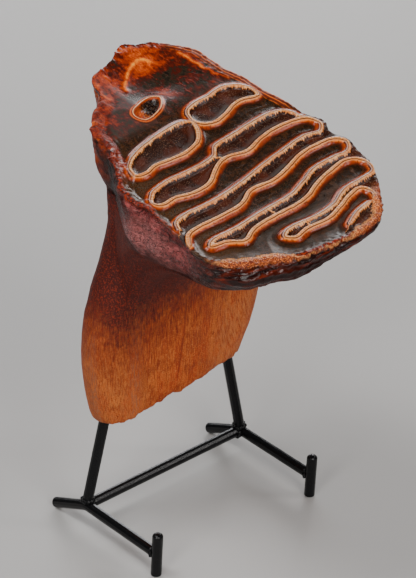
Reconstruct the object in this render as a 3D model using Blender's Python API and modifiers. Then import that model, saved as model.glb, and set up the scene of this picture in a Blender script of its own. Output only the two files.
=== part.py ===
"""Fossil mammoth molar on a welded display stand of black steel rod.

The tooth is one body: a slab-shaped root that flares into a wide crown, whose worn
chewing surface carries folded enamel ridges.  Two leaning posts of the stand stand in
blind sockets in the underside of the root.

Design values are in millimetres; MM turns them into Blender's metres.  In the design
frame X runs along the crossbar, -Y is the front, Z is up from the floor, and the
origin lies on the floor under the middle of the crossbar.
"""

import math

import bmesh
import bpy
from mathutils import Vector

MM = 0.001
CLEARANCE = 0.3  # gap between neighbouring pieces

# ---------------------------------------------------------------- tooth: driving sizes
CROWN_HEIGHT = 185.0  # chewing surface above the floor, over the crossbar
CROWN_TILT = math.radians(10.0)  # the chewing surface falls towards the front

# Rim of the chewing surface, seen from above and going clockwise from the back-left
# nose: (across, forward, height of the crown's side below the rim).
RIM = [
    (-13, -42, 26), (-6, -45, 26), (3, -48, 25), (13, -54, 24), (20, -51, 24),
    (27, -49, 23), (34, -43, 22), (40, -36, 21), (41, -28, 21), (42, -19, 20),
    (45, -10, 20), (46, 0, 19), (49, 11, 18), (50, 22, 16), (54, 30, 14),
    (51, 37, 12), (54, 45, 11), (52, 54, 9), (51, 61, 7), (47, 69, 6),
    (42, 76, 5), (34, 85, 4), (26, 91, 4), (13, 93, 5), (-3, 93, 7),
    (-19, 92, 10), (-31, 88, 10), (-42, 84, 12), (-51, 77, 14), (-54, 67, 17),
    (-52, 57, 20), (-53, 46, 23), (-52, 38, 25), (-54, 30, 26), (-52, 20, 26),
    (-46, 10, 25), (-40, -1, 24), (-38, -12, 25), (-30, -22, 26), (-21, -27, 26),
    (-17, -33, 26),
]
RIM_CORNERS = (28, 20, 7, 0)  # places in RIM: front left, front right, back right, back left
CELLS_ACROSS = 18  # mesh cells along the rim's front and back
CELLS_ALONG = 23  # and along its left and right

# Cross-sections of the root from its broken end up: (z, left, right, front, back).
ROOT = [
    (50, -40.0, 38.0, -11.0, 14.0),
    (62, -44.5, 40.0, -12.0, 15.0),
    (76, -46.5, 45.5, -12.5, 15.5),
    (92, -48.0, 50.0, -12.5, 15.5),
    (110, -45.5, 51.0, -12.0, 15.0),
    (128, -40.0, 51.0, -12.0, 14.0),
    (150, -36.0, 49.0, -12.5, 13.0),
]
ROOT_FLATNESS = 1.6  # how far the broad faces run before the ends turn round
ROOT_END_HIGH = 61.0  # height of the broken end at the right
ROOT_END_DIP = 8.5  # and its fall from there to the left end
FLUTE_DEPTH = 0.7  # the broad faces undulate by this much
FLUTE_PITCH = 42.0

UNDERCUT_BASE = 12.0  # the flare starts this far below the crown's lower edge,
UNDERCUT_SLOPE = 0.55  # plus this share of the overhang
BULGE = 2.6  # the thickest part of the crown's side swells out by this much
THICK_SIDE = 25.0  # side height at which the bulge is full
LIP_INSET = 1.5  # the crown's lower edge lies this far inside the rim at the front
LIP_INSET_BACK = 6.5  # and this much further in at the back

BASIN = (6, -31, 32, 19, 3.6)  # dish at the back: across, forward, two half-lengths, depth
DISH_DEPTH = 1.2  # the ridged field sinks by this much towards its middle
PIT = (-5.3, -14.5, 8.4, 3.0, 2.8)  # pit inside the small ring, given as the basin is
PIT_TURN = math.radians(31.0)

# Centre lines of the enamel ridges on the chewing surface (across, forward).
PIT_RING = [
    (-15, -13.5), (-12.5, -16), (-8.5, -18), (-4, -20), (0, -21), (3, -20.5), (4.5, -18.5),
    (2, -14.5), (-2, -11), (-6.5, -9), (-10, -8), (-13, -8), (-15, -10.5),
]
PLATE_2_LEFT = [
    (-41, 14), (-38, 11), (-30, 7), (-20, 4), (-10, 2), (-2, 1), (3, 3),
    (2, 8), (-3, 14), (-11, 17), (-20, 18), (-30, 18), (-37, 20), (-42, 19),
]
PLATE_2_RIGHT = [
    (4, 2), (6, -3), (12, -6), (21, -7), (31, -9), (38, -7), (42, -2),
    (41, 3), (33, 2), (27, 3), (20, 6), (12, 8), (6, 6),
]
MEANDER_BACK = [
    (47, 23), (44, 17), (37, 15), (26, 16), (13, 18), (1, 20), (-5, 25), (-17, 27),
    (-32, 28), (-43, 31), (-48, 36), (-45, 39), (-37, 38), (-27, 39), (-17, 37),
    (-8, 31), (0, 28), (11, 29), (21, 26), (31, 24), (43, 24), (49, 26), (51, 31),
    (47, 35), (39, 34), (27, 36), (12, 39), (-8, 44), (-25, 47), (-39, 48),
    (-47, 50), (-50, 54),
]
MEANDER_FRONT = [
    (-53, 64), (-49, 59), (-41, 57), (-28, 56), (-15, 54), (-5, 49), (7, 49),
    (18, 46), (30, 42), (42, 41), (49, 42), (52, 46), (48, 51), (40, 51), (28, 52),
    (18, 56), (7, 60), (-10, 62), (-28, 65), (-41, 66), (-46, 69), (-38, 70),
    (-31, 73), (-22, 69), (-10, 67), (4, 66), (13, 64), (22, 60), (32, 57),
    (43, 55), (49, 59), (48, 66), (39, 68), (29, 69), (18, 74), (6, 76), (-8, 76),
    (-15, 79), (-11, 82), (-3, 80), (8, 80), (18, 77), (28, 73), (35, 72), (37, 77),
    (33, 85),
]
LAST_PLATE = [(31, 81), (26, 82), (20, 84), (14, 87)]
RIDGE_RADIUS = 1.65
RIDGE_SINK = 0.4  # a ridge's centre line lies this far below the surface
RIDGE_STEP = 4.2  # spacing of a ridge's rings

# ---------------------------------------------------------------- stand: driving sizes
ROD = 4.76  # rod diameter, 3/16 inch
SPAN = 92.0  # between the joints at the two ends of the crossbar
JOINT_HEIGHT = 11.2
ARM_LENGTH = 45.5  # from a joint forward to the axis of a front pin
ARM_END_HEIGHT = 10.9
PIN_HEIGHT = 21.6
PIN_DOME = 1.5  # height of a pin's domed top
FOOT_LENGTH = 19.8  # from a joint back to the end of the rear foot
BEND_RADIUS = 7.0
POST_LEAN = {"left": (0.225, 0.01), "right": (-0.236, 0.027)}  # inwards and back, per unit up
POST_DEPTH = 15.0  # length of a post inside the root
FOOT_FLAT = 0.35  # depth of the flat ground on the underside of a rear foot
ROD_FACETS = 4  # bevel resolution of a rod


# ---------------------------------------------------------------- smooth curves
def spline(points, closed, steps=8):
    """Points on a smooth curve that passes through the given points."""
    count = len(points)
    spans = count if closed else count - 1
    fine = []
    for i in range(spans):
        if closed:
            a, b, c, d = (Vector(points[(i + k) % count]) for k in (-1, 0, 1, 2))
        else:
            a, b, c, d = (Vector(points[min(max(i + k, 0), count - 1)]) for k in (-1, 0, 1, 2))
        for step in range(steps):
            t = step / steps
            fine.append(
                0.5 * (2 * b + (c - a) * t + (2 * a - 5 * b + 4 * c - d) * t**2
                       + (3 * b - a - 3 * c + d) * t**3)
            )
    if not closed:
        fine.append(Vector(points[-1]))
    return fine


def flat_length(a, b):
    """Distance between two points in their first two coordinates."""
    return math.hypot(b[0] - a[0], b[1] - a[1])


def evenly(points, count):
    """Point number 0 to count - 1 of the equal steps along an open run of points."""
    marks = [0.0]
    for a, b in zip(points, points[1:]):
        marks.append(marks[-1] + flat_length(a, b))
    result = []
    span = 0
    for i in range(count):
        target = marks[-1] * i / count
        while marks[span + 1] < target:
            span += 1
        t = (target - marks[span]) / (marks[span + 1] - marks[span])
        result.append(points[span].lerp(points[span + 1], t))
    return result


def between(table, z):
    """Row of a table at height z, between its rows."""
    if z <= table[0][0]:
        return table[0][1:]
    for low, high in zip(table, table[1:]):
        if z <= high[0]:
            t = (z - low[0]) / (high[0] - low[0])
            return tuple(p + (q - p) * t for p, q in zip(low[1:], high[1:]))
    return table[-1][1:]


# ---------------------------------------------------------------- form of the tooth
ROOT_FINE = [tuple(row) for row in spline(ROOT, closed=False)]


def dent(u, v, place):
    """Depth of an oval hollow at (u, v)."""
    across, forward, half_u, half_v, depth = place
    reach = ((u - across) / half_u) ** 2 + ((v - forward) / half_v) ** 2
    return depth * max(0.0, 1.0 - reach) ** 1.5


def crown_relief(u, v):
    """Height of the chewing surface above its plane, ridges left out."""
    return -dent(u, v, BASIN) - dent(u, v, (0, 48, 52, 44, DISH_DEPTH))


def on_crown(u, v, lift=0.0):
    """Design-frame point at (u, v) on the crown's plane, lifted along its normal."""
    return Vector((
        u,
        -v * math.cos(CROWN_TILT) - lift * math.sin(CROWN_TILT),
        CROWN_HEIGHT - v * math.sin(CROWN_TILT) + lift * math.cos(CROWN_TILT),
    ))


def root_point(angle, z):
    """Point of the root's outline at a height, on the side that faces the angle."""
    left, right, front, back = between(ROOT_FINE, z)
    radius = (back - front) / 2
    stretch = ROOT_FLATNESS * math.cos(angle)
    stretch /= (1 + stretch**4) ** 0.25
    x = (left + right) / 2 + ((right - left) / 2 - radius) * stretch + radius * math.cos(angle)
    y = (front + back) / 2 + radius * math.sin(angle)
    y += FLUTE_DEPTH * math.sin(angle) * math.cos(2 * math.pi * x / FLUTE_PITCH)
    return Vector((x, y))


def root_end(x):
    """Height of the broken end of the root."""
    left, right = ROOT[0][1:3]
    return ROOT_END_HIGH - ROOT_END_DIP * ((right - x) / (right - left)) ** 2


def rim_ring():
    """The rim as four runs of equal steps, each point with its side height."""
    steps = 8
    fine = spline(RIM, closed=True, steps=steps)
    fine = fine + fine
    ring = []
    corners = RIM_CORNERS
    counts = (CELLS_ACROSS, CELLS_ALONG, CELLS_ACROSS, CELLS_ALONG)
    for here, after, cells in zip(corners, corners[1:] + corners[:1], counts):
        # RIM runs clockwise and the ring runs the other way round.
        first = after * steps
        last = here * steps
        if last < first:
            last += len(RIM) * steps
        run = fine[first : last + 1]
        ring += evenly(run[::-1], cells)
    return ring


def profile(rim_point, outward):
    """One line up the tooth's side, from the edge of the broken end to the rim."""
    edge = on_crown(rim_point.x, rim_point.y)
    side = rim_point.z
    angle = math.atan2(edge.y, edge.x)
    facing_back = (1 + outward.y) / 2
    swell = BULGE * side / THICK_SIDE * (1 - facing_back)
    lip = edge - outward * (LIP_INSET + LIP_INSET_BACK * facing_back)
    lip.z = edge.z - side
    overhang = (lip.xy - root_point(angle, lip.z)).length
    neck_z = lip.z - UNDERCUT_BASE - UNDERCUT_SLOPE * overhang
    neck = root_point(angle, neck_z).to_3d()
    neck.z = neck_z

    line = []
    start = root_point(angle, ROOT[0][0])
    end_z = root_end(start.x)
    centre = Vector((0.0, (ROOT[0][3] + ROOT[0][4]) / 2))
    for inset, rise in ((2.2, 0.0), (0.6, 0.9)):
        spot = root_point(angle, end_z + rise)
        inward = Vector((spot.x - centre.x, 3 * (spot.y - centre.y))).normalized()
        line.append((spot - inward * inset).to_3d() + Vector((0, 0, end_z + rise)))
    root_rows = 6
    for i in range(root_rows):
        z = end_z + 3.0 + (neck_z - end_z - 3.0) * i / root_rows
        line.append(root_point(angle, z).to_3d() + Vector((0, 0, z)))

    reach = lip - neck
    rising = neck + Vector((0, 0, 0.45 * reach.z))
    under = Vector((lip.x - 0.55 * reach.x, lip.y - 0.55 * reach.y, lip.z - 2 - 0.08 * overhang))
    flare_rows = 6
    for i in range(flare_rows):
        t = i / flare_rows
        s = 1 - t
        line.append(s**3 * neck + 3 * s * s * t * rising + 3 * s * t * t * under + t**3 * lip)

    line.append(lip)
    for drop, push in ((0.78, 0.7), (0.5, 1.0), (0.22, 0.65), (0.06, 0.2)):
        lean = LIP_INSET_BACK * facing_back * drop
        line.append(edge + outward * (swell * push - lean) - Vector((0, 0, side * drop)))
    return line


def fill_between(ring, across, along):
    """Grid of (u, v) points spanning the ring, whose sides run across, along and back."""
    front = ring[: across + 1]
    right = ring[across : across + along + 1]
    back = ring[across + along : 2 * across + along + 1][::-1]
    left = (ring[2 * across + along :] + ring[:1])[::-1]
    grid = {}
    for i in range(across + 1):
        s = i / across
        for j in range(along + 1):
            t = j / along
            edges = front[i] * (1 - t) + back[i] * t + left[j] * (1 - s) + right[j] * s
            corners = (
                (front[0] * (1 - s) + front[-1] * s) * (1 - t)
                + (back[0] * (1 - s) + back[-1] * s) * t
            )
            grid[i, j] = edges - corners
    return grid


def tooth_mesh():
    """The tooth without its ridges and sockets: side, chewing surface and broken end."""
    ring = rim_ring()
    count = len(ring)
    shape = bmesh.new()
    columns = []
    for i, rim_point in enumerate(ring):
        tangent = ring[(i + 2) % count] - ring[i - 2]
        outward = Vector((-tangent.y, -tangent.x, 0)).normalized()
        columns.append([shape.verts.new(p) for p in profile(rim_point, outward)])
        columns[-1].append(shape.verts.new(on_crown(rim_point.x, rim_point.y)))
    for i in range(count):
        here, there = columns[i], columns[(i + 1) % count]
        for k in range(len(here) - 1):
            shape.faces.new((here[k], there[k], there[k + 1], here[k + 1]))
    shape.faces.new([column[0] for column in columns][::-1])

    grid = fill_between(ring, CELLS_ACROSS, CELLS_ALONG)
    rim = [column[-1] for column in columns]
    across, along = CELLS_ACROSS, CELLS_ALONG
    top = {}
    for (i, j), spot in grid.items():
        if j == 0:
            top[i, j] = rim[i]
        elif i == across:
            top[i, j] = rim[across + j]
        elif j == along:
            top[i, j] = rim[across + along + across - i]
        elif i == 0:
            top[i, j] = rim[-j]
        else:
            lift = crown_relief(spot.x, spot.y)
            top[i, j] = shape.verts.new(on_crown(spot.x, spot.y, lift))
    for i in range(across):
        for j in range(along):
            shape.faces.new((top[i, j], top[i + 1, j], top[i + 1, j + 1], top[i, j + 1]))
    bmesh.ops.scale(shape, vec=(MM, MM, MM), verts=shape.verts)
    bmesh.ops.recalc_face_normals(shape, faces=shape.faces)
    mesh = bpy.data.meshes.new("tooth")
    shape.to_mesh(mesh)
    shape.free()
    return mesh


# ---------------------------------------------------------------- Blender helpers
def new_collection(name):
    group = bpy.data.collections.new(name)
    bpy.context.scene.collection.children.link(group)
    return group


def material(name, colour, roughness, metallic=0.0):
    made = bpy.data.materials.new(name)
    made.use_nodes = True
    shader = made.node_tree.nodes["Principled BSDF"]
    shader.inputs["Base Color"].default_value = (*colour, 1.0)
    shader.inputs["Roughness"].default_value = roughness
    shader.inputs["Metallic"].default_value = metallic
    made.diffuse_color = (*colour, 1.0)
    return made


def add_object(name, mesh, group, finish=None):
    made = bpy.data.objects.new(name, mesh)
    group.objects.link(made)
    if finish:
        mesh.materials.append(finish)
    return made


def move_to(thing, group):
    """Take an object out of its collections and put it in one group."""
    for old in list(thing.users_collection):
        old.objects.unlink(thing)
    group.objects.link(thing)


def tube(name, points, radius, group, closed=False, facets=ROD_FACETS):
    """Closed mesh tube along a run of design-frame points."""
    curve = bpy.data.curves.new(name, "CURVE")
    curve.dimensions = "3D"
    curve.twist_mode = "Z_UP"
    curve.bevel_depth = radius * MM
    curve.bevel_resolution = facets
    curve.use_fill_caps = not closed
    line = curve.splines.new("POLY")
    line.points.add(len(points) - 1)
    for point, place in zip(line.points, points):
        point.co = (*(Vector(place) * MM), 1.0)
    line.use_cyclic_u = closed
    guide = bpy.data.objects.new(name + "_line", curve)
    group.objects.link(guide)
    evaluated = guide.evaluated_get(bpy.context.evaluated_depsgraph_get())
    mesh = bpy.data.meshes.new_from_object(evaluated)
    mesh.name = name
    bpy.data.objects.remove(guide)
    shape = bmesh.new()
    shape.from_mesh(mesh)
    bmesh.ops.remove_doubles(shape, verts=shape.verts, dist=0.00001)
    bmesh.ops.recalc_face_normals(shape, faces=shape.faces)
    shape.to_mesh(mesh)
    shape.free()
    return add_object(name, mesh, group)


def boolean(target, tool, operation):
    """Cut or join a helper object into the target; the helper stays as a hidden wire."""
    change = target.modifiers.new(tool.name, "BOOLEAN")
    change.operation = operation
    change.solver = "EXACT"
    change.use_self = operation == "UNION"
    change.object = tool
    tool.hide_render = True
    tool.display_type = "WIRE"


def round_shading(made, degrees=40):
    made.data.shade_smooth()
    made.data.set_sharp_from_angle(angle=math.radians(degrees))


# ---------------------------------------------------------------- pieces
def post_line(side):
    """Axis of a post, from its joint on the crossbar to its end inside the root."""
    sign = -1 if side == "left" else 1
    foot = Vector((sign * SPAN / 2, 0, JOINT_HEIGHT))
    lean = Vector((*POST_LEAN[side], 1.0))
    entry_z = root_end(foot.x + lean.x * (ROOT_END_HIGH - JOINT_HEIGHT))
    return foot, foot + lean * (entry_z + POST_DEPTH - JOINT_HEIGHT)


def build_tooth(group, helpers, finish):
    tooth = add_object("tooth", tooth_mesh(), group, finish)
    ridges = {
        "ridge_pit_ring": (PIT_RING, True),
        "ridge_plate_2_left": (PLATE_2_LEFT, True),
        "ridge_plate_2_right": (PLATE_2_RIGHT, True),
        "ridge_meander_back": (MEANDER_BACK, False),
        "ridge_meander_front": (MEANDER_FRONT, False),
        "ridge_last_plate": (LAST_PLATE, False),
    }
    for name, (outline, closed) in ridges.items():
        fine = spline(outline, closed)
        if closed:
            fine.append(fine[0])
        length = sum(flat_length(a, b) for a, b in zip(fine, fine[1:]))
        spots = evenly(fine, round(length / RIDGE_STEP))
        if not closed:
            spots.append(fine[-1])
        line = [on_crown(u, v, crown_relief(u, v) - RIDGE_SINK) for u, v in spots]
        ridge = tube(name, line, RIDGE_RADIUS, helpers, closed, facets=1)
        boolean(tooth, ridge, "UNION")

    across, forward, half_u, half_v, depth = PIT
    lift = crown_relief(across, forward)
    bpy.ops.mesh.primitive_uv_sphere_add(
        segments=12, ring_count=8, radius=1.0, location=on_crown(across, forward, lift) * MM,
        rotation=(CROWN_TILT, 0, PIT_TURN),
    )
    pit = bpy.context.object
    pit.name = "pit_cutter"
    pit.scale = (half_u * MM, half_v * MM, depth * MM)
    move_to(pit, helpers)
    boolean(tooth, pit, "DIFFERENCE")

    for side in ("left", "right"):
        foot, top = post_line(side)
        direction = (top - foot).normalized()
        socket = tube(
            "socket_cutter_" + side, [foot, top + direction * CLEARANCE],
            ROD / 2 + CLEARANCE, helpers,
        )
        boolean(tooth, socket, "DIFFERENCE")
    round_shading(tooth, 35)
    return tooth


def rail_line(x):
    """Axis of a side rail: rear foot, bend over the joint, arm to the front pin."""
    slope = math.atan2(JOINT_HEIGHT - ROD / 2, FOOT_LENGTH)
    heel = Vector((x, FOOT_LENGTH, ROD / 2 * math.cos(slope) - FOOT_FLAT))
    joint = Vector((x, 0, JOINT_HEIGHT))
    toe = Vector((x, -ARM_LENGTH, ARM_END_HEIGHT))
    back = (heel - joint).normalized()
    front = (toe - joint).normalized()
    turn = math.pi - back.angle(front)
    run = BEND_RADIUS * math.tan(turn / 2)
    bend_steps = 4
    start, finish = joint + back * run, joint + front * run
    bend = []
    for i in range(bend_steps + 1):
        t = i / bend_steps
        bend.append(start * (1 - t) ** 2 + joint * (2 * t * (1 - t)) + finish * t**2)
    return [heel, *bend, toe]


def build_stand(group, helpers, finish):
    radius = ROD / 2
    rods = []
    crossbar = tube(
        "crossbar", [(-SPAN / 2, 0, JOINT_HEIGHT), (SPAN / 2, 0, JOINT_HEIGHT)], radius, group
    )
    rods.append(crossbar)
    for side, sign in (("left", -1), ("right", 1)):
        x = sign * SPAN / 2
        line = rail_line(x)
        rail = tube("side_rail_" + side, line, radius, group)
        around_rail = tube("around_rail_" + side, line, radius + CLEARANCE, helpers)
        pin_axis = [(x, -ARM_LENGTH, -ROD), (x, -ARM_LENGTH, PIN_HEIGHT + ROD)]
        around_pin = tube("around_pin_" + side, pin_axis, radius + CLEARANCE, helpers)
        foot, top = post_line(side)
        post = tube("post_" + side, [foot, top], radius, group)
        around_bar = tube(
            "around_bar_" + side,
            [(x - sign * ROD * 3, 0, JOINT_HEIGHT), (x, 0, JOINT_HEIGHT)],
            radius + CLEARANCE, helpers,
        )
        boolean(rail, around_pin, "DIFFERENCE")
        boolean(crossbar, around_rail, "DIFFERENCE")
        boolean(post, around_rail, "DIFFERENCE")
        boolean(post, around_bar, "DIFFERENCE")
        bpy.ops.mesh.primitive_cube_add(size=1.0, location=(x * MM, FOOT_LENGTH * MM, -ROD * MM))
        floor = bpy.context.object
        floor.name = "floor_cutter_" + side
        floor.scale = (3 * ROD * MM, 12 * ROD * MM, 2 * ROD * MM)
        move_to(floor, helpers)
        boolean(rail, floor, "DIFFERENCE")
        rods += [rail, post, build_pin("front_pin_" + side, x, group)]
    for rod in rods:
        rod.data.materials.append(finish)
        round_shading(rod)
    return rods


def build_pin(name, x, group):
    """Upright pin with a domed top and a flat foot, turned from its half profile."""
    radius = ROD / 2
    dome_steps = 5
    half = [(0.0, PIN_HEIGHT)]
    for i in range(1, dome_steps + 1):
        turn = math.pi / 2 * i / dome_steps
        half.append((radius * math.sin(turn), PIN_HEIGHT - PIN_DOME * (1 - math.cos(turn))))
    half += [(radius, 0.5), (radius - 0.5, 0.0), (0.0, 0.0)]
    mesh = bpy.data.meshes.new(name)
    points = [(r * MM, 0.0, z * MM) for r, z in half]
    mesh.from_pydata(points, [(i, i + 1) for i in range(len(points) - 1)], [])
    pin = add_object(name, mesh, group)
    pin.location = (x * MM, -ARM_LENGTH * MM, 0)
    turned = pin.modifiers.new("turned", "SCREW")
    turned.steps = 16
    turned.render_steps = 16
    turned.use_merge_vertices = True
    turned.merge_threshold = 0.00001
    return pin


def stand_on_origin(pieces, origin):
    """Move the assembly so that the origin is under the middle of its bounding box."""
    bpy.context.view_layer.update()
    graph = bpy.context.evaluated_depsgraph_get()
    spots = []
    for piece in pieces:
        evaluated = piece.evaluated_get(graph)
        spots += [evaluated.matrix_world @ v.co for v in evaluated.data.vertices]
    for axis in (0, 1):
        low = min(spot[axis] for spot in spots)
        high = max(spot[axis] for spot in spots)
        origin.location[axis] = -(low + high) / 2


def main():
    for old in list(bpy.data.objects):
        bpy.data.objects.remove(old)
    display = new_collection("mammoth_tooth_display")
    helpers = new_collection("cutters")
    fossil = material("fossil", (0.42, 0.12, 0.03), 0.35)
    black_metal = material("black_metal", (0.012, 0.012, 0.013), 0.35)

    pieces = [build_tooth(display, helpers, fossil)]
    pieces += build_stand(display, helpers, black_metal)

    origin = bpy.data.objects.new("origin", None)
    display.objects.link(origin)
    stand_on_origin(pieces, origin)
    for piece in pieces + list(helpers.objects):
        piece.parent = origin


main()
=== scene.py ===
"""Looks of the fossil mammoth tooth on its black rod stand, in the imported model's frame.

The tooth is rebuilt here from the same named sizes as its solid, with a fine mesh: worn
troughs between the enamel ridges, a crumbling rim and a grained root.  Sizes are in
millimetres in the design frame, whose origin lies under the middle of the crossbar.
"""

from functools import reduce
from math import atan2, cos, exp, hypot, pi, radians, sin
from types import SimpleNamespace

import bmesh
import bpy
import numpy as np
from mathutils import Matrix, Vector, noise
from mathutils.kdtree import KDTree


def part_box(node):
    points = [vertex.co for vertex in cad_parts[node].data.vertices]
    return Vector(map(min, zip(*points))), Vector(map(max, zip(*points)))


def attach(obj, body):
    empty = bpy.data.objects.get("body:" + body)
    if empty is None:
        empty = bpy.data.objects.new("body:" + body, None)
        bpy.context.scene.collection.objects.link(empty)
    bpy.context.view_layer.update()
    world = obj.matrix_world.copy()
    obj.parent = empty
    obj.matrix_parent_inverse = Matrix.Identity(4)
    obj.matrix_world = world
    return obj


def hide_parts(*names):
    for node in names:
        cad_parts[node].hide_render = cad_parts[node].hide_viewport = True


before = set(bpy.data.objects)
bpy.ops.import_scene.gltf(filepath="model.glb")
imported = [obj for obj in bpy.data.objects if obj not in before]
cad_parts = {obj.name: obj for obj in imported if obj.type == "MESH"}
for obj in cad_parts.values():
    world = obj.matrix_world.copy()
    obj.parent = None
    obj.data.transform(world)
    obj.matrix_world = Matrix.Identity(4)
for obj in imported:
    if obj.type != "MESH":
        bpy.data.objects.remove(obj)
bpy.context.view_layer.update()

MM = 0.001
FRAME_PX = (416, 578)  # width and height of the rendered picture

# ---------------- camera
VIEW_AZIMUTH = radians(-43.881)
VIEW_ELEVATION = radians(31.615)
VIEW_ROLL = radians(2.712)
FOCAL_PX = 3000.0
VIEW_DISTANCE = 1282.6
AIM_HEIGHT = 100.0  # the view's axis passes the object at this height
AXIS_PX = (-34.924, 6.878)  # where the view's axis lies from the picture's middle
SENSOR = 36.0

# ---------------- tooth: sizes of the solid
CROWN_HEIGHT = 185.0  # of the chewing surface's plane, over the crossbar
CROWN_TILT = radians(10.0)  # the plane falls to the front
# The rim from its back, clockwise from above: (across, forward, height of the side).
RIM = [
    (-13, -42, 26), (-6, -45, 26), (3, -48, 25), (13, -54, 24), (20, -51, 24),
    (27, -49, 23), (34, -43, 22), (40, -36, 21), (41, -28, 21), (42, -19, 20),
    (45, -10, 20), (46, 0, 19), (49, 11, 18), (50, 22, 16), (54, 30, 14),
    (51, 37, 12), (54, 45, 11), (52, 54, 9), (51, 61, 7), (47, 69, 6),
    (42, 76, 5), (34, 85, 4), (26, 91, 4), (13, 93, 5), (-3, 93, 7),
    (-19, 92, 10), (-31, 88, 10), (-42, 84, 12), (-51, 77, 14), (-54, 67, 17),
    (-52, 57, 20), (-53, 46, 23), (-52, 38, 25), (-54, 30, 26), (-52, 20, 26),
    (-46, 10, 25), (-40, -1, 24), (-38, -12, 25), (-30, -22, 26), (-21, -27, 26),
    (-17, -33, 26),
]
RIM_CORNERS = (28, 20, 7, 0)  # rim points where the mesh's four edges meet
# Cross-sections of the root from its broken end up: (z, left, right, front, back).
ROOT = [
    (50, -40.0, 38.0, -11.0, 14.0),
    (62, -44.5, 40.0, -12.0, 15.0),
    (76, -46.5, 45.5, -12.5, 15.5),
    (92, -48.0, 50.0, -12.5, 15.5),
    (110, -45.5, 51.0, -12.0, 15.0),
    (128, -40.0, 51.0, -12.0, 14.0),
    (150, -36.0, 49.0, -12.5, 13.0),
]
ROOT_FLATNESS = 1.6  # how far the broad faces run before the ends turn round
ROOT_END_HIGH = 61.0  # height of the broken end at the right
ROOT_END_DIP = 8.5  # and its fall from there to the left end
ROOT_END_STEP = (-12.0, 1.4)  # where the broken end steps down to the left, and how far
END_KEYS = ((2.2, 0.0), (0.6, 0.9))  # (inset, rise) of the rounded edge of the broken end
ROOT_FOOT = 3.0  # the root's full section starts this far above the broken end
FLUTE_DEPTH = 0.7  # the broad faces undulate by this much
FLUTE_PITCH = 42.0
UNDERCUT_BASE = 12.0  # the flare starts this far below the crown's lower edge,
UNDERCUT_SLOPE = 0.55  # plus this share of the overhang
BULGE = 2.6  # the thickest part of the crown's side swells out by this much
THICK_SIDE = 25.0  # side height at which the bulge is full
SIDE_KEYS = ((0.78, 0.7), (0.5, 1.0), (0.22, 0.65), (0.06, 0.2))  # shares of (height, bulge)
LIP_INSET = 1.5  # the crown's lower edge lies this far inside the rim at the front
LIP_INSET_BACK = 6.5  # and this much further in at the back
BASIN = (6, -31, 32, 19, 3.6)  # dish at the back: across, forward, two half-lengths, depth
DISH = (0, 48, 52, 44, 1.2)  # and the shallow one in front

# Centre lines of the enamel ridges on the chewing surface (across, forward).
PIT_RING = [
    (-15, -13.5), (-12.5, -16), (-8.5, -18), (-4, -20), (0, -21), (3, -20.5), (4.5, -18.5),
    (2, -14.5), (-2, -11), (-6.5, -9), (-10, -8), (-13, -8), (-15, -10.5),
]
PLATE_2_LEFT = [
    (-41, 14), (-38, 11), (-30, 7), (-20, 4), (-10, 2), (-2, 1), (3, 3),
    (2, 8), (-3, 14), (-11, 17), (-20, 18), (-30, 18), (-37, 20), (-42, 19),
]
PLATE_2_RIGHT = [
    (4, 2), (6, -3), (12, -6), (21, -7), (31, -9), (38, -7), (42, -2),
    (41, 3), (33, 2), (27, 3), (20, 6), (12, 8), (6, 6),
]
MEANDER_BACK = [
    (47, 23), (44, 17), (37, 15), (26, 16), (13, 18), (1, 20), (-5, 25), (-17, 27),
    (-32, 28), (-43, 31), (-48, 36), (-45, 39), (-37, 38), (-27, 39), (-17, 37),
    (-8, 31), (0, 28), (11, 29), (21, 26), (31, 24), (43, 24), (49, 26), (51, 31),
    (47, 35), (39, 34), (27, 36), (12, 39), (-8, 44), (-25, 47), (-39, 48),
    (-47, 50), (-50, 54),
]
MEANDER_FRONT = [
    (-53, 64), (-49, 59), (-41, 57), (-28, 56), (-15, 54), (-5, 49), (7, 49),
    (18, 46), (30, 42), (42, 41), (49, 42), (52, 46), (48, 51), (40, 51), (28, 52),
    (18, 56), (7, 60), (-10, 62), (-28, 65), (-41, 66), (-46, 69), (-38, 70),
    (-31, 73), (-22, 69), (-10, 67), (4, 66), (13, 64), (22, 60), (32, 57),
    (43, 55), (49, 59), (48, 66), (39, 68), (29, 69), (18, 74), (6, 76), (-8, 76),
    (-15, 79), (-11, 82), (-3, 80), (8, 80), (18, 77), (28, 73), (35, 72), (37, 77),
    (33, 85),
]
LAST_PLATE = [(31, 81), (26, 82), (20, 84), (14, 87)]

# ---------------- tooth: fineness of the mesh
CELLS_ACROSS = 192  # cells of the chewing surface
CELLS_ALONG = 272
SPLINE_STEPS = 8  # points in each span of a smooth curve
SOLID_RING = 82  # columns of the solid, whose outward directions the mesh shares
# The profile's spans on the broken end's edge, the root and the flare, and the mesh rows
# in each of them.  The rest are on the crown's side.
END_SPANS = len(END_KEYS)
END_ROWS = 2
ROOT_SPANS = 6
ROOT_ROWS = 4
FLARE_SPANS = 6
FLARE_ROWS = 4
SIDE_ROWS = 6
END_RINGS = 8  # rings of faces across the broken end
SAMPLE_STEP = 0.4  # spacing of the samples along a line on the crown
LINE_GAP = 10.0  # the distance along jumps by this much from one line to the next
FAR_OFF = 12.0  # distance of the broken end from the ridges and the pit, for the material
FAR_DOWN = 200.0  # its depth below the rim
END_LEVEL = 3.2  # and its level, on a scale that reaches 3 at its edge

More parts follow.
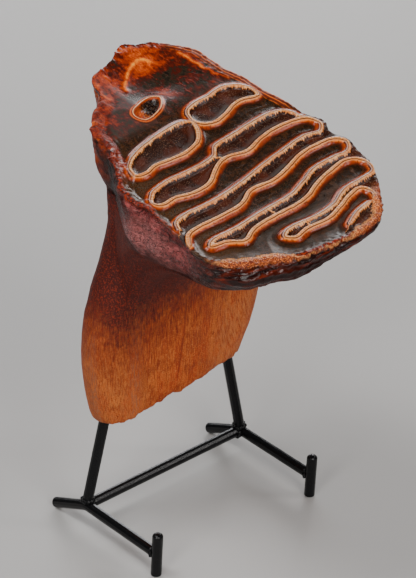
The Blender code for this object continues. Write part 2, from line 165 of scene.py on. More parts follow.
# ---------------- tooth: wear and lumps
# Height of the worn surface against the signed distance from a ridge's centre line.
# Dentine lies on the negative side and cement on the positive side.  The cement falls away
# steeply in front of a ridge and gently behind it.
WORN_DISTANCE = [
    -8, -5, -3.6, -2.6, -1.9, -1.5, -1.25, -1.0, -0.5, 0.3, 0.9, 1.4, 2.0, 2.8,
    3.6, 5, 7, 10, 13,
]
WORN_IN_FRONT = [
    -1.5, -1.45, -1.3, -1.05, -0.78, -0.55, 0.1, 0.5, 0.62, 0.62, 0.32, -0.15, -0.6, -0.95,
    -1.1, -1.2, -1.0, -0.5, 0.0,
]
WORN_BEHIND = [
    -1.5, -1.45, -1.3, -1.1, -0.85, -0.6, 0.0, 0.45, 0.62, 0.60, 0.45, 0.10, -0.35, -0.8,
    -1.05, -1.2, -1.1, -0.5, 0.0,
]
PIT_DISTANCE = [-4.5, -3.4, -2.0, -1.2, -0.6, 0.0, 0.5, 1.1, 2.0, 3.0]
PIT_HEIGHT = [-3.4, -3.2, -2.6, -1.4, 0.1, 0.40, 0.22, 0.0, -0.10, 0.0]
SHALLOW_BACK = 0.35  # depth of the cement's troughs at the back, as a share of those in front
SWIRL_HEIGHT, SWIRL_WIDTH = 0.35, 1.5  # low welts along the amber streaks
STREAK_HEIGHT, STREAK_WIDTH = 0.15, 1.4
RIM_REACH = 8.0  # the rim's lumps reach this far in
RIM_BEAD = (1.5, 1.6)  # raised edge: distance from the rim, half-width
RIM_GROOVE = (6.0, 0.9)  # groove behind the edge on the left, likewise
GROOVE_DEPTH = 0.6
RIM_FADE = 4.0  # the side follows the worn rim down to about this depth
CHIP_FADE = 7.0  # and the root follows the chipped broken end up to this height
KNOB_ACROSS = (-38.0, 12.0)  # swelling under the front left corner: middle, half-width
KNOB_DROP = (6.5, 3.6)  # and the same down the side
KNOB_HEIGHT = 3.0
SOCKET_ENTRY = 3.0  # depth of the holes round the posts in the fine mesh

# Short spurs of enamel that jut into the dentine, as (across, forward).
SPURS = [[(-5, 24), (-3, 26), (-1.5, 28)], [(0, 76), (-1, 78.5)], [(-8.5, 62), (-7.5, 65)]]
SPUR_LEVEL = -0.7  # distance from a ridge's line that a spur's own line counts as

# Streaks of amber on the plateau behind the plates, as (across, forward).
AMBER_SWIRL = [
    (-3, -31), (-2, -33), (2, -36.5), (6, -40), (10, -42), (13, -43), (16, -42.5), (18, -40),
]
AMBER_STREAK = [
    (32.5, -37.5), (33.5, -33), (33.5, -30), (34.5, -27), (34, -24), (35.5, -22),
    (35.5, -19), (37.5, -16.5), (39, -13.5),
]

# Patches of the plateau that glow or stay dark: (across, forward, half-widths), strength.
GLOW_PATCHES = [
    ((13, -37, 6, 3.5), 0.42), ((17, -47, 8, 2.5), 0.30), ((12, -50, 6, 2), 0.22),
    ((24, -37, 4, 3), 0.12), ((24, -23, 3, 2.5), 0.28), ((9, -20, 3.5, 5), 0.40),
    ((17, -28, 9, 5), -0.16), ((-6, -37, 5, 4), 0.14), ((-28, -15, 4, 5), 0.26),
    ((36, -30, 4, 8), 0.22), ((-5, -25, 5, 4), -0.25), ((2, -42, 7, 5), -0.20),
]

# ---------------- stand: sizes of the solids
ROD = 4.76  # rod diameter, 3/16 inch
SPAN = 92.0  # between the joints at the two ends of the crossbar
JOINT_HEIGHT = 11.2
ARM_LENGTH = 45.5  # from a joint forward to the axis of a front pin
# Lean of the posts, inwards and back, per unit up.
POST_LEAN = {"left": (0.225, 0.01), "right": (-0.236, 0.027)}


# ---------------- smooth curves
def spline_point(a, b, c, d, t):
    """Point on the smooth curve from b to c, between their neighbours a and d."""
    return 0.5 * (2 * b + (c - a) * t + (2 * a - 5 * b + 4 * c - d) * t**2
                  + (3 * b - a - 3 * c + d) * t**3)


def spline(points, closed):
    """Points on a smooth curve that passes through the given points."""
    count = len(points)
    spans = count if closed else count - 1
    fine = []
    for i in range(spans):
        if closed:
            a, b, c, d = (Vector(points[(i + k) % count]) for k in (-1, 0, 1, 2))
        else:
            a, b, c, d = (Vector(points[min(max(i + k, 0), count - 1)]) for k in (-1, 0, 1, 2))
        for step in range(SPLINE_STEPS):
            fine.append(spline_point(a, b, c, d, step / SPLINE_STEPS))
    if not closed:
        fine.append(Vector(points[-1]))
    return fine


def flat_length(a, b):
    """Distance between two points, seen from above."""
    return hypot(b[0] - a[0], b[1] - a[1])


def evenly(points, count):
    """Point number 0 to count - 1 of the equal steps along an open run of points."""
    marks = [0.0]
    for a, b in zip(points, points[1:]):
        marks.append(marks[-1] + flat_length(a, b))
    result = []
    span = 0
    for i in range(count):
        target = marks[-1] * i / count
        while marks[span + 1] < target:
            span += 1
        t = (target - marks[span]) / (marks[span + 1] - marks[span])
        result.append(points[span].lerp(points[span + 1], t))
    return result


def smooth(low, high, value):
    """Smooth step from 0 at low to 1 at high, for numbers and arrays."""
    t = np.clip((value - low) / (high - low), 0.0, 1.0)
    return t * t * (3 - 2 * t)


def rough(point, scale, octaves=3):
    """Fractal noise of about -1 to 1, with features of about the given size."""
    return noise.fractal(Vector(point) / scale, 0.7, 2.1, octaves)


# ---------------- form of the solid
ROOT_FINE = np.array(spline(ROOT, closed=False)).T  # rows of z, left, right, front, back


def spread(u, v, place):
    """Square of the distance from (across, forward), in half-lengths."""
    return ((u - place[0]) / place[2]) ** 2 + ((v - place[1]) / place[3]) ** 2


def dent(u, v, place):
    """Depth of a round dish at (across, forward)."""
    return place[4] * np.maximum(0.0, 1.0 - spread(u, v, place)) ** 1.5


def on_crown(u, v, lift=0.0):
    """Point of the chewing surface at (across, forward), lifted off its plane."""
    return Vector((
        u,
        -v * cos(CROWN_TILT) - lift * sin(CROWN_TILT),
        CROWN_HEIGHT - v * sin(CROWN_TILT) + lift * cos(CROWN_TILT),
    ))


def root_point(angle, z):
    """Point of the root's flattened section at height z, by its angle round the middle."""
    left, right, front, back = (float(np.interp(z, ROOT_FINE[0], row)) for row in ROOT_FINE[1:])
    radius = (back - front) / 2
    stretch = ROOT_FLATNESS * cos(angle)
    stretch /= (1 + stretch**4) ** 0.25
    x = (left + right) / 2 + ((right - left) / 2 - radius) * stretch + radius * cos(angle)
    y = (front + back) / 2 + radius * sin(angle)
    y += FLUTE_DEPTH * sin(angle) * cos(2 * pi * x / FLUTE_PITCH)
    return Vector((x, y))


def root_end(x):
    """Height of the broken end."""
    left, right = ROOT[0][1:3]
    return ROOT_END_HIGH - ROOT_END_DIP * ((right - x) / (right - left)) ** 2


def rim_ring():
    """The rim as four runs of equal steps, each point with its side height."""
    fine = spline(RIM, closed=True) * 2
    ring = []
    counts = (CELLS_ACROSS, CELLS_ALONG, CELLS_ACROSS, CELLS_ALONG)
    for here, after, cells in zip(RIM_CORNERS, RIM_CORNERS[1:] + RIM_CORNERS[:1], counts):
        first = after * SPLINE_STEPS
        last = (here if here > after else here + len(RIM)) * SPLINE_STEPS
        ring += evenly(fine[first : last + 1][::-1], cells)
    return ring


def root_line(angle, neck_z):
    """The profile's points from the edge of the broken end up the root."""
    end_z = root_end(root_point(angle, ROOT[0][0]).x)
    centre = Vector((0.0, (ROOT[0][3] + ROOT[0][4]) / 2))
    line = []
    for inset, rise in END_KEYS:
        spot = root_point(angle, end_z + rise)
        inward = Vector((spot.x - centre.x, 3 * (spot.y - centre.y))).normalized()
        line.append((spot - inward * inset).to_3d() + Vector((0, 0, end_z + rise)))
    for i in range(ROOT_SPANS):
        z = end_z + ROOT_FOOT + (neck_z - end_z - ROOT_FOOT) * i / ROOT_SPANS
        line.append(root_point(angle, z).to_3d() + Vector((0, 0, z)))
    return line


def flare_line(neck, lip, overhang):
    """The profile's points under the crown, from the neck out towards the lower edge."""
    reach = lip - neck
    rising = neck + Vector((0, 0, 0.45 * reach.z))
    under = Vector((lip.x - 0.55 * reach.x, lip.y - 0.55 * reach.y, lip.z - 2 - 0.08 * overhang))
    line = []
    for i in range(FLARE_SPANS):
        t = i / FLARE_SPANS
        s = 1 - t
        line.append(s**3 * neck + 3 * s * s * t * rising + 3 * s * t * t * under + t**3 * lip)
    return line


def profile(rim_point, outward):
    """One line up the tooth's side, from the edge of the broken end to the rim."""
    edge = on_crown(rim_point.x, rim_point.y)
    side = rim_point.z
    angle = atan2(edge.y, edge.x)
    facing_back = (1 + outward.y) / 2
    lip = edge - outward * (LIP_INSET + LIP_INSET_BACK * facing_back)
    lip.z = edge.z - side
    overhang = (lip.xy - root_point(angle, lip.z)).length
    neck_z = lip.z - UNDERCUT_BASE - UNDERCUT_SLOPE * overhang
    neck = root_point(angle, neck_z).to_3d()
    neck.z = neck_z

    line = root_line(angle, neck_z) + flare_line(neck, lip, overhang) + [lip]
    swell = BULGE * side / THICK_SIDE * (1 - facing_back)
    for drop, push in SIDE_KEYS:
        lean = LIP_INSET_BACK * facing_back * drop
        line.append(edge + outward * (swell * push - lean) - Vector((0, 0, side * drop)))
    return line + [edge]


def fill_between(ring, across, along):
    """Grid of (u, v) points spanning the ring, as arrays indexed [across, along]."""
    ring = np.array([point[:2] for point in ring])
    front = ring[: across + 1]
    right = ring[across : across + along + 1]
    back = ring[across + along : 2 * across + along + 1][::-1]
    left = np.concatenate([ring[2 * across + along :], ring[:1]])[::-1]
    s = np.linspace(0, 1, across + 1)[:, None, None]
    t = np.linspace(0, 1, along + 1)[None, :, None]
    edges = (front[:, None] * (1 - t) + back[:, None] * t
             + left[None] * (1 - s) + right[None] * s)
    corners = (
        (front[0] * (1 - s) + front[-1] * s) * (1 - t)
        + (back[0] * (1 - s) + back[-1] * s) * t
    )
    return edges - corners


# ---------------- lines on the crown
class Lines:
    """Nearest point on a set of smooth lines of the crown, with the side it lies on."""

    def __init__(self, outlines):
        self.samples = []
        travelled = 0.0
        for points, closed in outlines:
            fine = spline(points, closed)
            if closed:
                fine.append(fine[0])
            length = sum(flat_length(a, b) for a, b in zip(fine, fine[1:]))
            spots = evenly(fine, max(4, round(length / SAMPLE_STEP)))
            flip = -1.0 if closed else 1.0
            for i, spot in enumerate(spots):
                before = spots[i - 1] if closed or i else spot
                after = spots[(i + 1) % len(spots)] if closed or i + 1 < len(spots) else spot
                heading = (after.xy - before.xy).normalized()
                self.samples.append((spot.x, spot.y, heading.x, heading.y, flip,
                                     travelled + i * SAMPLE_STEP))
            travelled += length + LINE_GAP
        self.tree = KDTree(len(self.samples))
        for i, sample in enumerate(self.samples):
            self.tree.insert((sample[0], sample[1], 0.0), i)
        self.tree.balance()

    def near(self, u, v):
        """(signed distance, forward lean of the cement side, distance along the line)."""
        _, index, _ = self.tree.find((u, v, 0.0))
        su, sv, hu, hv, flip, along = self.samples[index]
        du, dv = u - su, v - sv
        across = (hu * dv - hv * du) * flip
        ahead = hu * du + hv * dv
        past = max(0.0, abs(ahead) - SAMPLE_STEP)
        distance = hypot(across, past)
        return (distance if across > 0 else -distance), hu * flip, along + ahead


RIDGES = Lines([
    (PLATE_2_LEFT, True), (PLATE_2_RIGHT, True),
    (MEANDER_BACK, False), (MEANDER_FRONT, False), (LAST_PLATE, False),
])
SPUR_LINES = Lines([(points, False) for points in SPURS])
PIT_LINE = Lines([(PIT_RING, True)])
SWIRL_LINE = Lines([(AMBER_SWIRL, False)])
STREAK_LINE = Lines([(AMBER_STREAK, False)])
RIM_LINE = Lines([([point[:2] for point in RIM], True)])


def survey(u, v):
    """What the surface needs to know at each of the points (u, v), as arrays."""
    rows = [
        (*RIDGES.near(a, b), PIT_LINE.near(a, b)[0], abs(SPUR_LINES.near(a, b)[0]),
         abs(SWIRL_LINE.near(a, b)[0]), abs(STREAK_LINE.near(a, b)[0]),
         abs(RIM_LINE.near(a, b)[0]))
        for a, b in zip(u, v)
    ]
    names = ("ridge", "lean", "along", "pit", "spur", "swirl", "streak", "rim")
    found = SimpleNamespace(**dict(zip(names, np.array(rows).T)))
    spur = np.where(found.ridge < 0, SPUR_LEVEL - found.spur, found.ridge)
    found.ridge = np.maximum(found.ridge, spur)
    return found


def left_edge(u, v):
    """1 on the lumpy left edge of the crown, 0 elsewhere."""
    return smooth(-5, -22, u - 0.35 * v - 8) * smooth(62, 40, v)


def hump(distance, centre, half_width):
    """Soft hump of height 1, by the distance from a line."""
    return np.exp(-(((distance - centre) / half_width) ** 2))


def worn_height(u, v, found):
    """Height of the chewing surface above its plane."""
    height = -dent(u, v, BASIN) - dent(u, v, DISH)
    in_front = np.interp(found.ridge, WORN_DISTANCE, WORN_IN_FRONT)
    behind = np.interp(found.ridge, WORN_DISTANCE, WORN_BEHIND)
    ridge = behind + (in_front - behind) * smooth(-0.4, 0.4, found.lean)
    # Troughs flatten out at the rim, and those in the cement are shallow at the back.
    open_rim = smooth(0.3, 5.5, found.rim)
    fade = SHALLOW_BACK + (1 - SHALLOW_BACK) * smooth(-10, 8, v)
    trough = ridge * open_rim * np.where(found.ridge > 0, fade, 1.0)
    height += np.where(ridge < 0, trough, ridge)
    pit = np.interp(found.pit, PIT_DISTANCE, PIT_HEIGHT)
    height += np.where(found.pit < PIT_DISTANCE[-1], pit, 0.0)
    hole = smooth(-0.9, -2.0, found.pit)
    height += SWIRL_HEIGHT * hump(found.swirl, 0.0, SWIRL_WIDTH)
    height += STREAK_HEIGHT * hump(found.streak, 0.0, STREAK_WIDTH)
    left_rim = left_edge(u, v)
    bead = 0.4 * smooth(78, 88, v) + left_rim * (0.35 + 0.65 * smooth(22, 4, v))
    height += bead * hump(found.rim, *RIM_BEAD)
    height -= GROOVE_DEPTH * hump(found.rim, *RIM_GROOVE) * left_rim * smooth(45, 25, v)
    crumbs = 0.25 + 0.5 * smooth(70, 84, v) - 0.20 * left_rim
    for i in range(len(height)):
        spot = (u[i], v[i], 0.0)
        near_rim = max(0.0, 1 - found.rim[i] / RIM_REACH)
        height[i] += 0.06 * rough(spot, 7.0)
        if hole[i] > 0:
            height[i] += 0.7 * hole[i] * rough(spot, 1.8)
        if near_rim > 0:
            height[i] += near_rim * (0.3 + 1.2 * left_rim[i]) * rough(spot, 5.0, 2)
            height[i] += near_rim**2 * crumbs[i] * rough(spot, 1.7, 2)
    return height


def blob(u, v, place):
    """Soft round patch of height 1 at (across, forward) with two half-widths."""
    return np.exp(-spread(u, v, place))


def glow_field(u, v, found):
    """How far light gets into the surface: 0 black-brown, 0.5 red-orange, 1 bright amber."""
    glow = 0.13 + 0.22 * smooth(-30, -44, v)
    glow += 0.18 * smooth(2, -8, u) * smooth(-22, -32, v)
    for place, strength in GLOW_PATCHES:
        glow += strength * blob(u, v, place)
    glow += 0.62 * hump(found.swirl, 0.0, 0.9) + 0.16 * hump(found.swirl, 0.0, 4.0)
    glow += 0.60 * hump(found.streak, 0.0, 0.9)
    glow += 0.36 * left_edge(u, v) * smooth(7.0, 4.5, found.rim)
    return glow


# ---------------- fine mesh of the tooth
def add_object(name, data):
    """A new object of the given data, in the scene."""
    made = bpy.data.objects.new(name, data)
    bpy.context.scene.collection.objects.link(made)
    return made


def raise_rows(key_rows):
    """Columns of profile points, smoothed to the mesh's rows: array [column, row, xyz]."""
    keys = np.array(key_rows)
    spans = keys.shape[1] - 1
    steps_in = [END_ROWS] * END_SPANS + [ROOT_ROWS] * ROOT_SPANS + [FLARE_ROWS] * FLARE_SPANS
    steps_in += [SIDE_ROWS] * (spans - len(steps_in))
    rows = []
    for k, steps in enumerate(steps_in):
        a, b, c, d = (keys[:, min(max(k + i, 0), spans)] for i in (-1, 0, 1, 2))
        for step in range(steps):
            rows.append(spline_point(a, b, c, d, step / steps))
    return np.stack(rows, axis=1)


def roughen_side(spots, normals, rim, drops):
    """Crumbled rim and grown lines: moves the side's points, and says how high each stands."""
    columns, rows = spots.shape[:2]
    relief = np.zeros((columns, rows))
    for i in range(columns):
        u, v = rim[i]
        left = float(left_edge(u, v))
        back = float(smooth(-8, -30, v))
        front = float(smooth(70, 84, v))
        knob = front * KNOB_HEIGHT * float(hump(u, *KNOB_ACROSS))
        for k in range(rows):
            spot = spots[i, k]
            drop = drops[i, k]
            high = exp(-((drop / 16.0) ** 2))
            crumbs = exp(-((drop / 5.0) ** 2)) * (0.2 + 0.5 * front - 0.14 * left)
            move = 0.25 * rough(spot, 9.0)
            move += high * (0.3 + 1.5 * left + 0.8 * back) * rough(spot, 7.5)
            move += high * left * 0.25 * rough(spot * np.array([1, 1, 0.4]), 3.0, 2)
            move += crumbs * rough(spot, 1.7, 2)
            move += high * (front + 0.4) * 0.18 * sin(2.6 * drop + 2 * rough(spot, 14.0))
            move += knob * float(hump(drop, *KNOB_DROP))
            spots[i, k] = spot + normals[i, k] * move
            relief[i, k] = high * rough(spot, 6.5, 4) + 0.5 * high * rough(spot, 2.6)
    return spots, relief


def surface_normals(spots):
    """Outward unit normals of the side's grid of points."""
    around = np.roll(spots, -1, axis=0) - np.roll(spots, 1, axis=0)
    upward = np.gradient(spots, axis=1)
    normals = np.cross(around, upward)
    return normals / np.maximum(np.linalg.norm(normals, axis=2, keepdims=True), 1e-9)


def post_axis(side):
    """A post's foot and direction in the design frame."""
    sign = -1 if side == "left" else 1
    foot = Vector((sign * SPAN / 2, 0, JOINT_HEIGHT))
    return foot, Vector((*POST_LEAN[side], 1.0)).normalized()


def socket_depth(spot):
    """How far the broken end is drilled away round the posts at a point."""
    depth = 0.0
    for side in ("left", "right"):
        foot, direction = post_axis(side)
        offset = Vector(spot) - foot
        away = (offset - direction * offset.dot(direction)).length
        inside = 1 - float(smooth(ROD / 2 + 0.3, ROD / 2 + 1.2, away))
        depth = max(depth, SOCKET_ENTRY * inside)
    return depth


def side_grid(ring):
    """Points up the tooth's side, from the broken end to just under the rim."""
    count = len(ring)
    reach = round(2 * count / SOLID_RING)
    keys = []
    for i in range(0, count, 2):
        tangent = ring[(i + reach) % count] - ring[i - reach]
        outward = Vector((-tangent.y, -tangent.x, 0)).normalized()
        keys.append([tuple(p) for p in profile(ring[i], outward)])
    return raise_rows(keys)


def chewing_surface(ring):
    """The top: its grid of points, what each lies near, and the run of points on the rim."""
    grid = fill_between(ring, CELLS_ACROSS, CELLS_ALONG)
    u, v = grid[..., 0].ravel(), grid[..., 1].ravel()
    index = np.arange(len(u)).reshape(grid.shape[:2])
    found = survey(u, v)
    lift = worn_height(u, v, found)
    return SimpleNamespace(
        u=u, v=v, index=index, found=found, lift=lift,
        points=np.array([on_crown(a, b, c) for a, b, c in zip(u, v, lift)]),
        border=np.concatenate([
            index[:-1, 0], index[-1, :-1], index[:0:-1, -1], index[0, :0:-1],
        ]),
    )


def weather_side(side, top, rim_uv):
    """The side with its worn rim, lumps and chipped lower end, its relief and depths."""
    at_rim = top.border[::2]
    gaps = np.diff(side, axis=1, append=top.points[at_rim][:, None])
    drops = np.cumsum(np.linalg.norm(gaps, axis=2)[:, ::-1], axis=1)[:, ::-1]
    side[..., 2] += top.lift[at_rim][:, None] * np.exp(-drops / RIM_FADE)
    side, relief = roughen_side(side, surface_normals(side), rim_uv, drops)
    step_at, step_down = ROOT_END_STEP
    chips = np.array([
        0.9 * rough((x, 3.0, 0.0), 7.0) + 0.8 * rough((x, 9.0, 4.0), 2.4)
        - step_down * float(smooth(step_at + 1.5, step_at - 1.5, x))
        for x in side[:, 0, 0]
    ])
    side[..., 2] += chips[:, None] * np.exp(-((side[..., 2] - side[:, :1, 2]) / CHIP_FADE))
    return side, relief, drops


def broken_end(outer):
    """Rings of the rough broken end, from its edge to its middle, and the middle itself."""
    middle = outer.mean(axis=0)
    rings = []
    for k in range(1, END_RINGS + 1):
        t = k / (END_RINGS + 0.6)
        ring = middle + (outer - middle) * (1 - t)
        for spot in ring:
            wear = min(1.0, 2 * t)
            spot[2] += wear * (0.8 * rough(spot, 4.0) + 0.6 * rough(spot, 1.8) + 0.5)
            spot[2] += socket_depth(spot)
        rings.append(ring)
    return rings, middle[None] + [[0, 0, 0.6]]


def ring_faces(lower, upper):
    """Quads between two closed rings of points."""
    return list(zip(lower, np.roll(lower, -1), np.roll(upper, -1), upper))


def tooth_faces(top, columns, rows):
    """Faces over the top, down the side and across the broken end."""
    index, border = top.index, top.border
    corners = (index[:-1, :-1], index[1:, :-1], index[1:, 1:], index[:-1, 1:])
    faces = np.stack(corners, axis=-1).reshape(-1, 4).tolist()
    place = len(top.points) + np.arange(columns * rows).reshape(columns, rows)
    for k in range(rows - 1):
        faces += ring_faces(place[:, k], place[:, k + 1])
    high, even = place[:, -1], border[::2]
    faces += zip(high, np.roll(high, -1), np.roll(even, -1), border[1::2], even)
    last = place[:, 0]
    here = place.max() + 1 + np.arange(columns)
    for _ in range(END_RINGS):
        faces += ring_faces(here, last)
        last, here = here, here + columns
    faces += [(here[0], following, spot) for spot, following in zip(last, np.roll(last, -1))]
    return faces


def point_facts(top, rim_uv, relief, drops, total):
    """What the material reads at every point, with the top's facts carried down the side."""
    columns, rows = drops.shape
    first = len(top.points)
    start = first + columns * rows
    at_rim = top.border[::2]

    def join(on_top, on_side, on_end):
        values = np.full(total, float(on_end))
        values[:first] = on_top
        values[first:start] = np.ravel(on_side)
        return values

    def carry(on_top, on_end):
        return join(on_top, np.repeat(on_top[at_rim], rows), on_end)

    found = top.found
    neck_row = END_SPANS * END_ROWS + ROOT_SPANS * ROOT_ROWS
    lip_row = neck_row + FLARE_SPANS * FLARE_ROWS
    # 0 at the rim, 1 at the crown's lower edge, 2 at the neck, 3 where the broken end starts.
    level = np.interp(np.arange(rows), [0, neck_row, lip_row, rows], [3, 2, 1, 0])
    lumps = [
        rough((a, b, 0.0), 4.5) * max(0.0, 1 - c / RIM_REACH)
        for a, b, c in zip(top.u, top.v, found.rim)
    ]
    return {
        "ridge": carry(found.ridge, FAR_OFF),
        "pit": carry(found.pit, FAR_OFF),
        "lean": carry(found.lean, 0.0),
        "along": carry(found.along, 0.0),
        "drop": join(0.0, drops, FAR_DOWN),
        "relief": join(lumps, relief, 0.0),
        "rim": join(found.rim, 0.0, 0.0),
        "glow": carry(glow_field(top.u, top.v, found), 0.0),
        "across": join(top.u, np.repeat(rim_uv[:, 0], rows), 0.0),
        "forward": join(top.v, np.repeat(rim_uv[:, 1], rows), 0.0),
        "level": join(0.0, np.tile(level, columns), END_LEVEL),
    }


def tooth_look(shift):
    """The tooth as one fine closed mesh, with what its material needs on its points."""
    ring = rim_ring()
    rim_uv = np.array([tuple(point.xy) for point in ring[::2]])
    top = chewing_surface(ring)
    side, relief, drops = weather_side(side_grid(ring), top, rim_uv)
    rings, centre = broken_end(side[:, 0])
    spots = np.concatenate([top.points, side.reshape(-1, 3), *rings, centre])
    faces = tooth_faces(top, *drops.shape)

    mesh = bpy.data.meshes.new("tooth_look")
    world = (spots + np.array([shift[0], shift[1], 0.0])) * MM
    mesh.from_pydata([tuple(p) for p in world], [], [tuple(int(n) for n in f) for f in faces])
    for name, values in point_facts(top, rim_uv, relief, drops, len(spots)).items():
        layer = mesh.attributes.new(name, "FLOAT", "POINT")
        layer.data.foreach_set("value", values.astype(np.float32))
    shape = bmesh.new()
    shape.from_mesh(mesh)
    bmesh.ops.recalc_face_normals(shape, faces=shape.faces)
    shape.to_mesh(mesh)
    shape.free()
    mesh.shade_smooth()
    return add_object("tooth_look", mesh)


# ---------------- materials
class Graph:
    """Short names for the shader nodes that the materials are made of."""

    def __init__(self, name):
        self.material = bpy.data.materials.new(name)
        self.material.use_nodes = True
        self.tree = self.material.node_tree
        self.shader = self.tree.nodes["Principled BSDF"]
        metres = self.node("TexCoord", {}, "Object")
        self.place = self.node("VectorMath", {0: metres, "Scale": 1 / MM}, operation="SCALE")

    def put(self, socket, value):
        """Links a socket or sets a value; a colour may leave out its alpha."""
        if isinstance(value, bpy.types.NodeSocket):
            self.tree.links.new(value, socket)
        elif isinstance(value, tuple) and len(value) == 3 and socket.type == "RGBA":
            socket.default_value = (*value, 1.0)
        else:
            socket.default_value = value

    def surface(self, colour, roughness, specular=0.5):
        self.put(self.shader.inputs["Base Color"], colour)
        self.put(self.shader.inputs["Roughness"], roughness)
        self.put(self.shader.inputs["Specular IOR Level"], specular)

    def node(self, kind, inputs, output=0, **settings):
        """A new node with its settings and inputs; gives back one of its outputs."""
        node = self.tree.nodes.new("ShaderNode" + kind)
        for name, value in settings.items():
            setattr(node, name, value)
        for key, value in inputs.items():
            self.put(node.inputs[key], value)
        return node.outputs[output]

    def bump(self, height):
        """Fine relief, with its height in millimetres."""
        normal = self.node("Bump", {"Height": height, "Distance": MM})
        self.put(self.shader.inputs["Normal"], normal)

    def fact(self, name):
        """A value that the mesh holds at its points."""
        return self.node("Attribute", {}, "Fac", attribute_name=name)

    def axis(self, number):
        """The place's x, y or z."""
        return self.node("SeparateXYZ", {0: self.place}, number)

    def join(self, x, y):
        return self.node("CombineXYZ", {0: x, 1: y})

    def vector(self, operation, a, b, output=0):
        return self.node("VectorMath", {0: a, 1: b}, output, operation=operation)

    def stretch(self, factors):
        """The place, stretched along its axes."""
        return self.vector("MULTIPLY", self.place, factors)

    def math(self, operation, *values):
        return self.node("Math", dict(enumerate(values)), operation=operation)

    def plus(self, *values):
        return reduce(lambda a, b: self.math("ADD", a, b), values)

    def times(self, *factors):
        """Product of the factors, of which (value, low, high) stands for a smooth step."""
        steps = [self.step(*f) if isinstance(f, tuple) else f for f in factors]
        return reduce(lambda a, b: self.math("MULTIPLY", a, b), steps)

    def scaled(self, value, factor, offset):
        return self.math("MULTIPLY_ADD", value, factor, offset)

    def swing(self, noise, width):
        """A noise spread over the given width around zero."""
        return self.scaled(noise, width, -width / 2)

    def noise(self, where, scale, detail=3.0, distortion=0.0):
        """Noise around 0.5 with features of about 1 / scale."""
        return self.node("TexNoise", {
            "Vector": where, "Scale": scale, "Detail": detail, "Distortion": distortion,
        })

    def step(self, value, low, high):
        """Smooth step from 0 at low to 1 at high."""
        start, end = (0.0, 1.0) if low < high else (1.0, 0.0)
        return self.node("MapRange", {
            "Value": value, "From Min": min(low, high), "From Max": max(low, high),
            "To Min": start, "To Max": end,
        }, interpolation_type="SMOOTHSTEP")

    def mix(self, amount, a, b):
        """Colour from a to b."""
        return self.node("Mix", {0: self.times(amount), 6: a, 7: b}, 2, data_type="RGBA")

    def blend(self, amount, a, b):
        """Number from a to b."""
        return self.node("Mix", {0: self.times(amount), 2: a, 3: b})

    def coats(self, colour, *layers):
        """Colours laid over one another.  A layer is a colour and the factors of its cover."""
        for coat, *cover in layers:
            colour = self.mix(self.times(*cover), colour, coat)
        return colour

    def levels(self, value, *layers):
        """Numbers laid over one another in the same way."""
        for level, *cover in layers:
            value = self.blend(self.times(*cover), value, level)
        return value

    def ramp(self, value, low, high, stops):
        """Colours by value; a stop is (value, colour)."""
        node = self.tree.nodes.new("ShaderNodeValToRGB")
        spread = self.math("DIVIDE", self.math("SUBTRACT", value, low), high - low)
        self.put(node.inputs[0], spread)
        ramp = node.color_ramp
        while len(ramp.elements) < len(stops):
            ramp.elements.new(1.0)
        for element, (at, colour) in zip(ramp.elements, stops):
            element.position = (at - low) / (high - low)
            element.color = (*colour, 1.0)
        return node.outputs[0]


# Colours, in linear light.
CEMENT = (0.020, 0.0085, 0.0032)
CEMENT_BROWN = (0.085, 0.029, 0.009)
CEMENT_TAWNY = (0.075, 0.046, 0.026)
CEMENT_OLIVE = (0.030, 0.020, 0.010)
DENTINE = (0.026, 0.0070, 0.0036)
# grey of the painted sheen on the dentine's slope up to a band
DENTINE_SHEEN = (0.075, 0.058, 0.052)
DENTINE_RED = (0.095, 0.016, 0.005)
DENTINE_GRAIN = (0.24, 0.135, 0.080)
ENAMEL_LIGHT = (1.0, 0.60, 0.31)
ENAMEL = (0.92, 0.37, 0.110)
ENAMEL_TAN = (0.54, 0.15, 0.032)
ENAMEL_LINE = (0.085, 0.017, 0.008)
# pinkish white of the painted gloss line along the back bands' crest
ENAMEL_PAINTED_GLOSS = (0.60, 0.32, 0.23)
FRINGE_LIGHT = (0.86, 0.230, 0.040)
FRINGE = (0.76, 0.150, 0.016)
FRINGE_RED = (0.34, 0.040, 0.007)
FRINGE_DARK = (0.080, 0.014, 0.005)
LINE_PURPLE = (0.040, 0.011, 0.012)
AMBER = (1.0, 0.25, 0.015)
AMBER_PALE = (1.0, 0.42, 0.06)
AMBER_DEEP = (0.62, 0.085, 0.007)
RED_ORANGE = (0.34, 0.030, 0.005)
RED_BROWN = (0.13, 0.014, 0.004)
STRIP_DARK = (0.045, 0.004, 0.002)
STRIP_RED = (0.22, 0.014, 0.003)
NEAR_BLACK = (0.008, 0.004, 0.003)
SIDE_DARK = (0.016, 0.004, 0.004)
SIDE_RED = (0.080, 0.010, 0.007)
SIDE_PLUM = (0.26, 0.034, 0.034)
# pale lilac of the painted highlight on the side's swelling
SIDE_PAINTED_HIGHLIGHT = (0.52, 0.165, 0.155)
SIDE_MAUVE = (0.44, 0.090, 0.082)
MAROON = (0.060, 0.006, 0.003)
ROOT_ORANGE = (0.48, 0.060, 0.003)
ROOT_LIGHT = (0.60, 0.140, 0.018)
ROOT_BROWN = (0.22, 0.018, 0.002)
ROOT_PALE = (0.66, 0.24, 0.065)
ROOT_GREY = (0.40, 0.15, 0.065)
CREAM_CRUMB = (1.0, 0.46, 0.16)
PAINT_DARK = (0.003, 0.003, 0.0033)
PAINT_LIGHT = (0.008, 0.008, 0.009)
FLOOR_DARK = (0.46, 0.45, 0.44)
FLOOR_LIGHT = (0.50, 0.49, 0.48)
